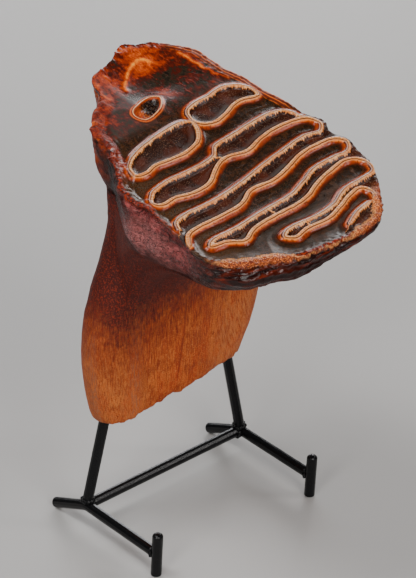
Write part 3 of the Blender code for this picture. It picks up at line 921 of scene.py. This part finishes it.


# Colours by the distance from a ridge's centre line, where the cement lies in front of it
# and where it lies behind.
# In the front bands the grey stretch in the dentine, from -3.0 to -2.1, is a painted sheen on the
# slope up to the band.
FRONT_BAND = [
    (-4.4, DENTINE), (-3.0, DENTINE_SHEEN), (-2.1, DENTINE_SHEEN), (-1.7, NEAR_BLACK),
    (-1.25, ENAMEL_LINE), (-1.0, ENAMEL), (-0.75, ENAMEL_LIGHT), (-0.45, ENAMEL),
    (-0.22, ENAMEL_TAN), (-0.02, ENAMEL), (0.22, ENAMEL), (0.44, ENAMEL_LINE),
    (0.60, ENAMEL_LINE), (0.74, ENAMEL_TAN), (0.92, ENAMEL), (1.15, FRINGE_LIGHT),
    (1.4, FRINGE), (1.7, FRINGE_RED), (2.2, FRINGE_DARK), (3.2, CEMENT),
]
# In the back bands the pink stripe between the dark line and the purple line is a painted gloss line
# on the crest's back edge.
BACK_BAND = [
    (-3.0, DENTINE), (-1.15, DENTINE), (-0.95, ENAMEL_TAN), (-0.7, ENAMEL),
    (-0.45, ENAMEL_LIGHT), (-0.1, ENAMEL), (0.05, ENAMEL_LINE), (0.3, ENAMEL_LINE),
    (0.45, ENAMEL_PAINTED_GLOSS), (0.8, ENAMEL_PAINTED_GLOSS), (0.95, LINE_PURPLE), (1.35, LINE_PURPLE),
    (1.6, FRINGE), (2.1, FRINGE_RED), (2.8, FRINGE_DARK), (4.2, CEMENT),
]
# Colours by the distance from the pit's ring.
PIT_BAND = [
    (-1.6, NEAR_BLACK), (-1.0, RED_BROWN), (-0.6, AMBER_DEEP), (-0.36, RED_BROWN),
    (-0.2, ENAMEL), (0.06, ENAMEL_LIGHT), (0.24, RED_BROWN), (0.6, RED_ORANGE),
    (1.0, FRINGE), (1.5, RED_BROWN), (2.4, CEMENT_OLIVE),
]
# Colours by how much light soaks in.
SOAKED = [
    (-0.2, NEAR_BLACK), (0.05, CEMENT_OLIVE), (0.18, MAROON), (0.32, RED_BROWN),
    (0.52, RED_ORANGE), (0.78, AMBER_DEEP), (1.05, AMBER), (1.3, AMBER_PALE),
]
# Streaks of the crown's side by their noise, on the left and in front.
MAUVE_SIDE = [
    (0.2, SIDE_DARK), (0.36, SIDE_RED), (0.46, SIDE_PLUM), (0.55, SIDE_MAUVE),
    (0.64, SIDE_PLUM), (0.8, SIDE_RED),
]
DARK_SIDE = [
    (0.2, (0.006, 0.002, 0.0015)), (0.48, (0.016, 0.003, 0.002)), (0.60, (0.080, 0.009, 0.003)),
    (0.68, (0.18, 0.020, 0.006)), (0.8, (0.04, 0.006, 0.003)),
]

BULGE_HIGHLIGHT_SPOT = (-50.5, -17.5, 164.0)  # middle of the painted highlight, a pale patch on the swelling of the left side
BULGE_HIGHLIGHT_SIZE = (14.0, 14.0, 11.0)  # and its half-lengths
# What the mesh holds at its points.
FACTS = (
    "ridge", "lean", "along", "pit", "rim", "drop", "level", "across", "forward", "glow",
    "relief",
)


def fossil_nodes():
    """The tooth's nodes, with the noises, mesh facts and zones that its parts share.

    A zone is 1 inside and 0 outside, with a soft border.
    """
    g = Graph("fossil_look")
    g.fine = g.noise(g.place, 1.3, 4.0)
    g.medium = g.noise(g.place, 0.42, 4.0, 0.4)
    g.broad = g.noise(g.place, 0.11, 3.0, 0.6)
    g.grit = g.noise(g.place, 3.2, 2.0)
    g.specks = g.noise(g.place, 1.9, 2.0)
    g.brushed = g.noise(g.stretch((0.9, 0.35, 0.6)), 0.9, 4.0, 0.8)
    g.grain = g.noise(g.stretch((1.0, 1.0, 0.10)), 2.0, 4.0, 0.2)
    for name in FACTS:
        setattr(g, name, g.fact(name))
    top_zones(g)
    rim_zones(g)
    side_zones(g)
    return g


def top_zones(g):
    """Zones of the chewing surface, by the wandering distance across an enamel band."""
    wander = g.noise(g.join(g.along, 7.0), 0.16, 2.0)
    g.band = g.plus(g.ridge, g.swing(g.fine, 0.30), g.swing(wander, 0.9))
    g.prisms = g.noise(g.join(g.times(g.along, 1.3), g.times(g.ridge, 0.4)), 1.0, 2.0)
    g.faces_front = g.step(g.lean, -0.35, 0.5)
    g.on_ridge = g.times((g.ridge, 1.7, 1.2), (g.ridge, -1.5, -1.1))
    g.ground = g.step(g.band, 2.3, 3.6)
    g.core = g.step(g.band, -1.4, -1.8)
    g.plateau = g.times((g.scaled(g.across, 0.12, g.forward), -2.0, -14.0), (g.ridge, 1.8, 3.5))


def rim_zones(g):
    """Ragged zones of the rim: red on the left, creamy in front, waved on the right."""
    g.edge = g.math("SUBTRACT", g.rim, g.swing(g.medium, 3.0))
    g.ragged_drop = g.plus(g.drop, g.swing(g.medium, 6.0))
    slanting = g.scaled(g.forward, -0.35, g.across)
    g.left = g.times((slanting, -6.0, -20.0), (g.forward, 60.0, 42.0))
    g.red_rim = g.times(g.left, (g.forward, 24.0, 8.0), (g.edge, 6.2, 5.2), (g.ragged_drop, 7.0, 3.5))
    g.front = g.step(g.forward, 70.0, 82.0)
    width = g.plus(
        g.times((g.across, -16.0, -26.0), (g.across, -52.0, -44.0), 4.6),
        g.times((g.across, 6.0, 18.0), 3.6),
    )
    g.frayed = g.plus(g.math("SUBTRACT", g.edge, width), g.swing(g.fine, 3.0))
    frayed_drop = g.plus(g.ragged_drop, g.scaled(g.broad, 26.0, -14.0))
    g.creamy = g.times(g.front, (g.frayed, 0.5, -0.5), (frayed_drop, 5.0, 3.5))
    g.right = g.times((g.across, 26.0, 36.0), (g.forward, 22.0, 8.0), (g.edge, 4.5, 2.5))


def side_zones(g):
    """Zones and veins of the side, down to the root."""
    g.on_side = g.step(g.drop, 0.6, 2.2)
    # Painted shade on the underside of the crown, from just above its lower edge down towards the
    # neck.
    g.lower = g.step(g.scaled(g.medium, 0.5, g.level), 0.90, 1.35)
    g.on_root = g.step(g.level, 1.2, 1.5)
    g.veins = g.noise(g.stretch((0.8, 0.35, 0.7)), 0.55, 4.0, 1.6)
    g.wrinkle = g.math("ABSOLUTE", g.swing(g.veins, 1.0))


def band_colour(g):
    """Enamel bands with their fringe, from the dentine to the cement."""
    teeth = g.swing(g.noise(g.join(g.along, g.times(g.ridge, 0.3)), 1.5, 3.0), 3.2)
    jagged = g.plus(g.band, g.times(teeth, (g.ridge, -0.3, -1.1)))
    front_band = g.ramp(g.band, -4.5, 5.0, FRONT_BAND)
    back_band = g.ramp(jagged, -3.0, 5.0, BACK_BAND)
    stain = g.noise(g.join(g.along, 3.0), 0.12, 3.0)
    fading = g.noise(g.join(g.along, 11.0), 0.11, 3.0)
    strip = g.times((g.band, 0.35, 0.15), (g.band, -1.15, -0.9))
    fringe = g.times((g.band, 0.85, 1.25), (g.band, 3.0, 1.8))
    return g.coats(
        g.mix(g.faces_front, back_band, front_band),
        (FRINGE_LIGHT, (stain, 0.46, 0.60), strip, 0.55),
        (ENAMEL_TAN, (g.prisms, 0.50, 0.62), strip, 0.70),
        (ENAMEL_LIGHT, (g.prisms, 0.46, 0.36), strip, 0.60),
        (FRINGE_RED, fringe, (fading, 0.46, 0.60), 0.8),
        (FRINGE_DARK, fringe, (g.prisms, 0.52, 0.64), 0.6),
    )


def ground_coats(g):
    """Mottled cement, tawny on the left, and granular dentine."""
    tawny = g.step(g.scaled(g.medium, 16.0, g.across), -18.0, -36.0)
    skin = g.mix((g.fine, 0.38, 0.62), CEMENT_TAWNY, CEMENT_BROWN)
    dense = g.blend(g.faces_front, 0.8, 0.3)
    return (
        (CEMENT_BROWN, g.ground, (g.medium, 0.44, 0.70), 0.75),
        (CEMENT_OLIVE, g.ground, (g.broad, 0.46, 0.62), (g.fine, 0.4, 0.6), 0.9),
        (CEMENT_BROWN, g.ground, (g.specks, 0.56, 0.68), 0.75),
        (NEAR_BLACK, g.ground, (g.specks, 0.46, 0.36), 0.75),
        (skin, g.ground, tawny, (g.specks, 0.36, 0.48), 0.85),
        (DENTINE_RED, g.core, (g.broad, 0.40, 0.68), 0.7),
        (DENTINE_GRAIN, g.core, (g.specks, 0.57, 0.68), dense, 0.8),
    )


def soaked_heat(g):
    """How much light soaks in, from dark below 0 to bright amber above 1."""
    return g.plus(
        g.glow,
        g.scaled(g.medium, 0.90, -0.44),
        g.times(g.swing(g.fine, 0.6), (g.glow, 0.3, 0.7)),
        g.scaled(g.brushed, 0.75, -0.37),
        g.swing(g.broad, 0.50),
        # raised lumps come out lighter and their hollows darker: painted shade
        g.times(g.relief, 0.45),
    )


def pit_colour(g):
    """The pit's ring, and the walls of its hole, lit on the left."""
    wall = g.coats(
        NEAR_BLACK,
        (g.mix((g.fine, 0.4, 0.6), RED_ORANGE, AMBER_DEEP), (g.across, -5.0, -10.0)),
        (g.mix((g.across, -4.0, -9.0), DENTINE_GRAIN, AMBER), (g.specks, 0.54, 0.64), 0.8),
        (NEAR_BLACK, (g.fine, 0.42, 0.34)),
    )
    ring = g.ramp(g.scaled(g.fine, 0.8, g.plus(g.pit, -0.4)), -2.0, 3.0, PIT_BAND)
    return g.mix((g.pit, -0.7, -1.3), ring, wall)


def crumb_colour(g):
    """Cream crumbs and flakes of the rim's front."""
    flake = g.mix((g.specks, 0.48, 0.62), RED_BROWN, FRINGE)
    return g.coats(
        g.mix((g.fine, 0.42, 0.54), RED_ORANGE, ENAMEL_TAN),
        (FRINGE, (g.medium, 0.48, 0.58), 0.85),
        (FRINGE, (g.across, 12.0, 26.0), 0.5),
        (RED_ORANGE, (g.medium, 0.42, 0.34), 0.7),
        (CREAM_CRUMB, (g.specks, 0.52, 0.62)),
        (RED_BROWN, (g.specks, 0.46, 0.38)),
        (CREAM_CRUMB, (g.frayed, -1.1, -0.3), 0.5),
        (flake, (g.scaled(g.fine, 3.0, g.frayed), 0.2, -1.6), 0.8),
    )


def rim_coats(g, heat, soaked):
    """The crumbling rim: red on the left, creamy in front, waved on the right."""
    strip_red = g.mix((g.fine, 0.4, 0.62), STRIP_DARK, STRIP_RED)
    strip_red = g.mix((heat, 0.62, 0.95), strip_red, soaked)
    thin_rim = g.times(
        g.left, (g.forward, 4.0, 18.0), (g.edge, 2.4, 1.6), (g.ragged_drop, 5.0, 2.5)
    )
    waves = g.math("SINE", g.scaled(g.rim, 3.6, g.times(g.medium, 2.0)))
    return (
        (g.mix(0.55, soaked, strip_red), g.red_rim),
        (g.mix((g.fine, 0.42, 0.62), MAROON, RED_ORANGE), thin_rim),
        (g.mix((g.fine, 0.45, 0.6), MAROON, RED_ORANGE), g.front, (g.rim, 2.4, 1.2)),
        (crumb_colour(g), g.creamy),
        (g.mix((waves, 0.3, 1.0), RED_BROWN, FRINGE), g.right),
    )


def mauve_colour(g):
    """Veined mauve of the crown's left side, with a painted highlight on its swelling."""
    # the relief term darkens the hollows a little: painted shade
    flow = g.plus(g.noise(g.stretch((1.0, 0.30, 0.75)), 0.13, 4.0, 0.7), g.times(g.relief, 0.05))
    shrink = tuple(1 / size for size in BULGE_HIGHLIGHT_SIZE)
    off = g.vector("MULTIPLY", g.vector("SUBTRACT", g.place, BULGE_HIGHLIGHT_SPOT), shrink)
    away = g.math("SQRT", g.vector("DOT_PRODUCT", off, off, "Value"))
    away = g.plus(away, g.swing(g.medium, 1.6))
    return g.coats(
        g.ramp(flow, 0.2, 0.8, MAUVE_SIDE),
        # pale patch round the swelling's middle: a painted highlight
        (SIDE_PAINTED_HIGHLIGHT, (away, 1.5, 0.35), 0.75),
        (SIDE_DARK, (g.wrinkle, 0.036, 0.008), 0.85),
        (SIDE_RED, (g.veins, 0.54, 0.66), 0.6),
        (SIDE_RED, (g.specks, 0.56, 0.68), 0.6),
    )


def side_colour(g, soaked):
    """Side of the crown: mauve and lumpy on the left, near black in front and on the right, with
    painted shade on the underside.
    """
    dark = g.ramp(g.noise(g.stretch((0.16, 0.55, 1.5)), 0.26, 5.0, 0.5), 0.2, 0.8, DARK_SIDE)
    # Lumps by their relief, near black in the hollows and red to orange on the crests: painted shade.
    lumps = g.mix((g.relief, -0.1, 0.5), NEAR_BLACK, SIDE_RED)
    lumps = g.mix((g.relief, 0.35, 0.8), lumps, RED_ORANGE)
    return g.coats(
        mauve_colour(g),
        (dark, (g.scaled(g.medium, 12.0, g.forward), 64.0, 80.0)),
        (lumps, (g.scaled(g.medium, 10.0, g.forward), 34.0, 18.0)),
        (soaked, (g.forward, 0.0, -14.0), 0.7),
        (dark, (g.across, -10.0, 10.0)),
        # near black and maroon under the crown's lower edge: painted shade
        (g.mix((g.fine, 0.45, 0.6), NEAR_BLACK, MAROON), g.lower, 0.85),
    )


def root_colour(g):
    """Orange root with fine grain, and painted shade under the crown, maroon and stippled."""
    x, z = g.axis(0), g.axis(2)
    sheared = g.vector("ADD", g.place, g.join(g.times(z, 0.35), 0.0))
    slanted = g.noise(g.vector("MULTIPLY", sheared, (1.0, 1.0, 0.12)), 1.7, 4.0, 0.3)
    grain_wide = g.noise(g.stretch((1.0, 1.0, 0.22)), 0.16, 3.0, 0.4)
    scratched = g.times((g.across, -52.0, -46.0), (g.across, -36.0, -44.0))
    pale_edge_and_highlight = g.plus(g.level, g.swing(g.fine, 0.10))
    # A darker line down the front face: painted shade along a shallow crease.
    crease = g.math("ABSOLUTE", g.scaled(g.medium, 1.6, g.scaled(z, -0.10, g.plus(x, 13.0))))
    crease_shade = g.times((crease, 0.7, 0.2), (z, 66.0, 72.0), (z, 96.0, 90.0))
    # Painted shade under the crown's overhang: maroon and stippled above a slanting line, fading
    # downwards.
    shade = g.plus(
        g.math("SUBTRACT", z, g.scaled(x, 0.32, 107.0)),
        g.swing(g.medium, 34.0),
        g.swing(g.fine, 26.0),
        g.swing(g.grain, 40.0),
        g.times((x, -40.0, -48.0), -14.0),
    )
    shade_stipple = g.coats(
        MAROON,
        (RED_ORANGE, (g.fine, 0.46, 0.70), 0.7),
        (ROOT_BROWN, (g.grain, 0.48, 0.60), (x, -38.0, -50.0)),
    )
    return g.coats(
        g.mix((grain_wide, 0.30, 0.72), ROOT_ORANGE, ROOT_LIGHT),
        (ROOT_BROWN, (g.broad, 0.40, 0.66), 0.5),
        (ROOT_BROWN, (g.grain, 0.50, 0.64), 0.75),
        (ROOT_LIGHT, (g.grain, 0.47, 0.36), 0.45),
        (ROOT_BROWN, (g.specks, 0.56, 0.66), 0.65),
        (ROOT_PALE, (g.specks, 0.44, 0.36), 0.45),
        (ROOT_PALE, (g.scaled(g.broad, 40.0, x), 24.0, 48.0), (slanted, 0.34, 0.66), 0.5),
        (ROOT_PALE, (x, -16.0, -34.0), (slanted, 0.36, 0.62), 0.30),
        (ROOT_GREY, scratched, (g.grain, 0.45, 0.6), 0.8),
        # Pale band along the broken end's edge, partly wear and partly painted highlight; the grey on
        # its right is a painted highlight.
        (ROOT_LIGHT, (pale_edge_and_highlight, 2.89, 2.95), 0.7),
        (ROOT_GREY, (pale_edge_and_highlight, 2.90, 2.96), (x, 0.0, 20.0), 0.7),
        # darker crease line: painted shade
        (ROOT_BROWN, crease_shade, 0.8),
        # brown, maroon and stipple under the crown: painted shade
        (ROOT_BROWN, (shade, -34.0, 2.0), 0.65),
        (shade_stipple, (shade, -12.0, 18.0)),
    )


def fossil_gloss(g):
    """Roughness: varnished crown, crumbly rim, satin root."""
    at_front = g.step(g.forward, 50.0, 76.0)
    return g.levels(
        g.scaled(g.medium, 0.16, 0.08),
        (g.scaled(g.medium, 0.16, g.scaled(at_front, 0.15, 0.12)), g.ground),
        (g.scaled(g.brushed, 0.24, 0.12), g.plateau),
        (0.62, g.plateau, (g.across, -6.0, -11.0)),
        (0.22, g.core),
        (0.42, g.left, (g.edge, 4.0, 2.0), (g.forward, 4.0, 18.0)),
        (0.40, g.math("MAXIMUM", g.creamy, g.right)),
        (g.scaled(g.medium, 0.22, 0.08), g.on_side),
        (0.5, g.on_side, (g.forward, 30.0, 18.0), (g.across, -15.0, -25.0)),
        (0.62, g.on_side, g.lower),
        (g.scaled(g.grain, 0.2, 0.52), g.on_root),
    )


def fossil_bump(g):
    """Fine relief that the mesh is too coarse for, in millimetres."""
    top = g.plus(
        g.times(g.fine, 0.08),
        g.times(g.specks, g.core, 0.07),
        g.times(g.grit, 0.015),
        g.times(g.medium, g.red_rim, 0.9),
        g.times(g.brushed, g.plateau, 0.06),
        g.times(g.prisms, g.on_ridge, 0.16),
    )
    vein_depth = g.math("SUBTRACT", 0.30, g.times(g.front, 0.28))
    side = g.plus(
        g.times(g.medium, 0.8), g.times(g.fine, 0.14), g.times((g.wrinkle, 0.0, 0.08), vein_depth)
    )
    side = g.blend(g.times(g.front, g.on_side), side, g.times(side, 0.4))
    root = g.plus(g.times(g.grain, 0.40), g.times(g.grit, 0.12))
    return g.levels(top, (side, g.math("MAXIMUM", g.on_side, g.creamy)), (root, g.on_root))


def fossil_material():
    """The whole tooth, from its chewing surface down to the broken end of the root."""
    g = fossil_nodes()
    heat = soaked_heat(g)
    soaked = g.ramp(heat, -0.2, 1.3, SOAKED)
    broken_end = g.mix((g.fine, 0.35, 0.65), ROOT_BROWN, ROOT_GREY)
    colour = g.coats(
        band_colour(g),
        *ground_coats(g),
        (soaked, g.plateau),
        (pit_colour(g), (g.pit, 2.4, 0.9)),
        *rim_coats(g, heat, soaked),
        (side_colour(g, soaked), g.on_side),
        (root_colour(g), (g.scaled(g.medium, 0.3, g.level), 1.15, 1.5)),
        (broken_end, (g.scaled(g.fine, 0.10, g.level), 3.0, 3.06)),
    )
    g.surface(colour, fossil_gloss(g), specular=0.31)
    g.bump(fossil_bump(g))
    return g.material


def paint_material():
    """Glossy black paint with a faint orange peel."""
    g = Graph("black_paint")
    peel = g.noise(g.place, 0.9, 3.0)
    fine = g.noise(g.place, 3.5, 2.0)
    g.surface(g.mix(peel, PAINT_DARK, PAINT_LIGHT), g.scaled(peel, 0.16, 0.12), specular=0.20)
    g.bump(g.plus(g.times(peel, 0.06), g.times(fine, 0.02)))
    return g.material


def floor_material():
    """Plain pale floor."""
    g = Graph("studio_floor")
    g.surface(g.mix(g.noise(g.place, 0.004, 2.0), FLOOR_DARK, FLOOR_LIGHT), 0.55)
    return g.material


# ---------------- weld beads
JOINT_LUMP = 1.05  # radius of the lumps of the welds at the crossbar's ends
PIN_LUMP = 0.85  # and of those at the front pins
JOINT_TURN = 40  # degrees from one lump to the next
PIN_TURN = 45
JOINT_WAVE = 0.1  # the ring round a post goes up and down by this much
WELD_LUMPS = 0.12  # and the surface of a weld in and out by this much


def bead(name, lumps, shift, finish):
    """A weld: lumps of (centre, radius) fused into one rough blob."""
    shape = bmesh.new()
    for centre, radius in lumps:
        made = bmesh.ops.create_icosphere(shape, subdivisions=3, radius=radius)
        for vert in made["verts"]:
            vert.co += Vector(centre)
    for vert in shape.verts:
        vert.co += Vector((WELD_LUMPS,) * 3) * rough(vert.co, 1.2)
        vert.co = (vert.co + Vector((shift[0], shift[1], 0))) * MM
    mesh = bpy.data.meshes.new(name)
    shape.to_mesh(mesh)
    shape.free()
    mesh.materials.append(finish)
    mesh.shade_smooth()
    made = add_object(name, mesh)
    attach(made, "root")


def weld_beads(shift, finish):
    """Welds where the crossbar, a post and a front pin meet each side rail."""
    radius = ROD / 2
    for side, sign in (("left", -1), ("right", 1)):
        x = sign * SPAN / 2
        foot, direction = post_axis(side)
        spot = foot + direction * (radius + 0.4)
        bar, post, pin = [], [], []
        for turn in range(0, 360, JOINT_TURN):
            out, up = radius * cos(radians(turn)), radius * sin(radians(turn))
            bar.append(((x - sign * (radius + 0.2), out, JOINT_HEIGHT + up), JOINT_LUMP))
            wave = JOINT_WAVE * cos(3 * radians(turn))
            post.append(((spot.x + out, spot.y + up, spot.z + wave), JOINT_LUMP))
        for turn in range(0, 360, PIN_TURN):
            out = radius * 0.9 * cos(radians(turn))
            up = radius * 0.9 * sin(radians(turn))
            pin.append(((x + out, -ARM_LENGTH + radius + 0.1, JOINT_HEIGHT - 0.3 + up), PIN_LUMP))
        bead("weld_joint_" + side, bar + post, shift, finish)
        bead("weld_pin_" + side, pin, shift, finish)


# ---------------- studio
FLOOR_HALF = 4.0  # half the floor's width, in metres like the lights' sizes
SKY = (0.92, 0.95, 1.0, 1.0)
SKY_STRENGTH = 0.06
LIT_HEIGHT = 0.12  # the lights point at this height over the middle of the floor
# Area lights: (direction from the tooth, distance, width, height, power, colour).
LIGHTS = {
    "key_front": ((-0.20, -0.85, 0.50), 1.2, 0.46, 0.56, 7.0, (1.0, 0.97, 0.93)),
    "left": ((-0.85, -0.30, 0.45), 1.1, 0.28, 0.46, 4.2, (1.0, 0.97, 0.95)),
    "right": ((0.80, 0.42, 0.38), 1.1, 0.45, 0.30, 2.2, (1.0, 0.98, 0.97)),
    "back_right": ((0.55, 0.78, 0.22), 1.0, 0.74, 0.24, 4.0, (0.97, 0.98, 1.0)),
    "right_front": ((0.60, -0.52, 0.62), 1.2, 0.2, 0.37, 2.5, (1.0, 0.97, 0.95)),
    "top": ((-0.35, 0.20, 0.92), 1.2, 0.37, 0.37, 7.0, (1.0, 1.0, 1.0)),
}


def studio_floor():
    """The floor, which is only part of the stage."""
    far = FLOOR_HALF
    mesh = bpy.data.meshes.new("studio_floor")
    corners = [(-far, -far, 0), (far, -far, 0), (far, far, 0), (-far, far, 0)]
    mesh.from_pydata(corners, [], [(0, 1, 2, 3)])
    mesh.materials.append(floor_material())
    floor = add_object("studio_floor", mesh)


def studio_lights():
    """A faint sky and the area lights round the tooth."""
    world = bpy.data.worlds.new("studio")
    world.use_nodes = True
    world.node_tree.nodes["Background"].inputs["Color"].default_value = SKY
    world.node_tree.nodes["Background"].inputs["Strength"].default_value = SKY_STRENGTH
    bpy.context.scene.world = world

    for name, (direction, distance, width, height, power, colour) in LIGHTS.items():
        light = bpy.data.lights.new(name, "AREA")
        light.shape = "RECTANGLE"
        light.size = width
        light.size_y = height
        light.energy = power
        light.color = colour
        holder = add_object(name, light)
        toward = Vector(direction).normalized()
        holder.location = Vector((0, 0, LIT_HEIGHT)) + toward * distance
        holder.rotation_euler = toward.to_track_quat("Z", "Y").to_euler()


def photo_camera(shift):
    """The camera at its fitted viewpoint, aimed through the picture's middle."""
    az, el = VIEW_AZIMUTH, VIEW_ELEVATION
    back = Vector((sin(az) * cos(el), -cos(az) * cos(el), sin(el)))
    right = Vector((cos(az), sin(az), 0.0))
    up = back.cross(right)
    cos_r, sin_r = cos(VIEW_ROLL), sin(VIEW_ROLL)
    rolled_right = right * cos_r + up * sin_r
    rolled_up = up * cos_r - right * sin_r
    middle = -back - rolled_right * (AXIS_PX[0] / FOCAL_PX) + rolled_up * (AXIS_PX[1] / FOCAL_PX)
    z_axis = -middle.normalized()
    x_axis = (rolled_right - z_axis * rolled_right.dot(z_axis)).normalized()
    y_axis = z_axis.cross(x_axis)
    where = back * VIEW_DISTANCE + Vector((shift[0], shift[1], AIM_HEIGHT))

    lens = bpy.data.cameras.new("camera")
    lens.sensor_width = SENSOR
    lens.lens = FOCAL_PX / max(FRAME_PX) * SENSOR
    lens.clip_end = 20.0
    camera = add_object("camera", lens)
    camera.matrix_world = Matrix((
        (x_axis.x, y_axis.x, z_axis.x, where.x * MM),
        (x_axis.y, y_axis.y, z_axis.y, where.y * MM),
        (x_axis.z, y_axis.z, z_axis.z, where.z * MM),
        (0, 0, 0, 1),
    ))
    bpy.context.scene.camera = camera


def main():
    low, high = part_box("crossbar")
    shift = ((low[0] + high[0]) / 2 / MM, (low[1] + high[1]) / 2 / MM)

    tooth = tooth_look(shift)
    tooth.data.materials.append(fossil_material())
    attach(tooth, "root")
    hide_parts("tooth")

    paint = paint_material()
    for name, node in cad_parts.items():
        if name != "tooth":
            for slot in node.material_slots:
                slot.material = paint
    weld_beads(shift, paint)
    studio_floor()
    studio_lights()
    photo_camera(shift)


main()
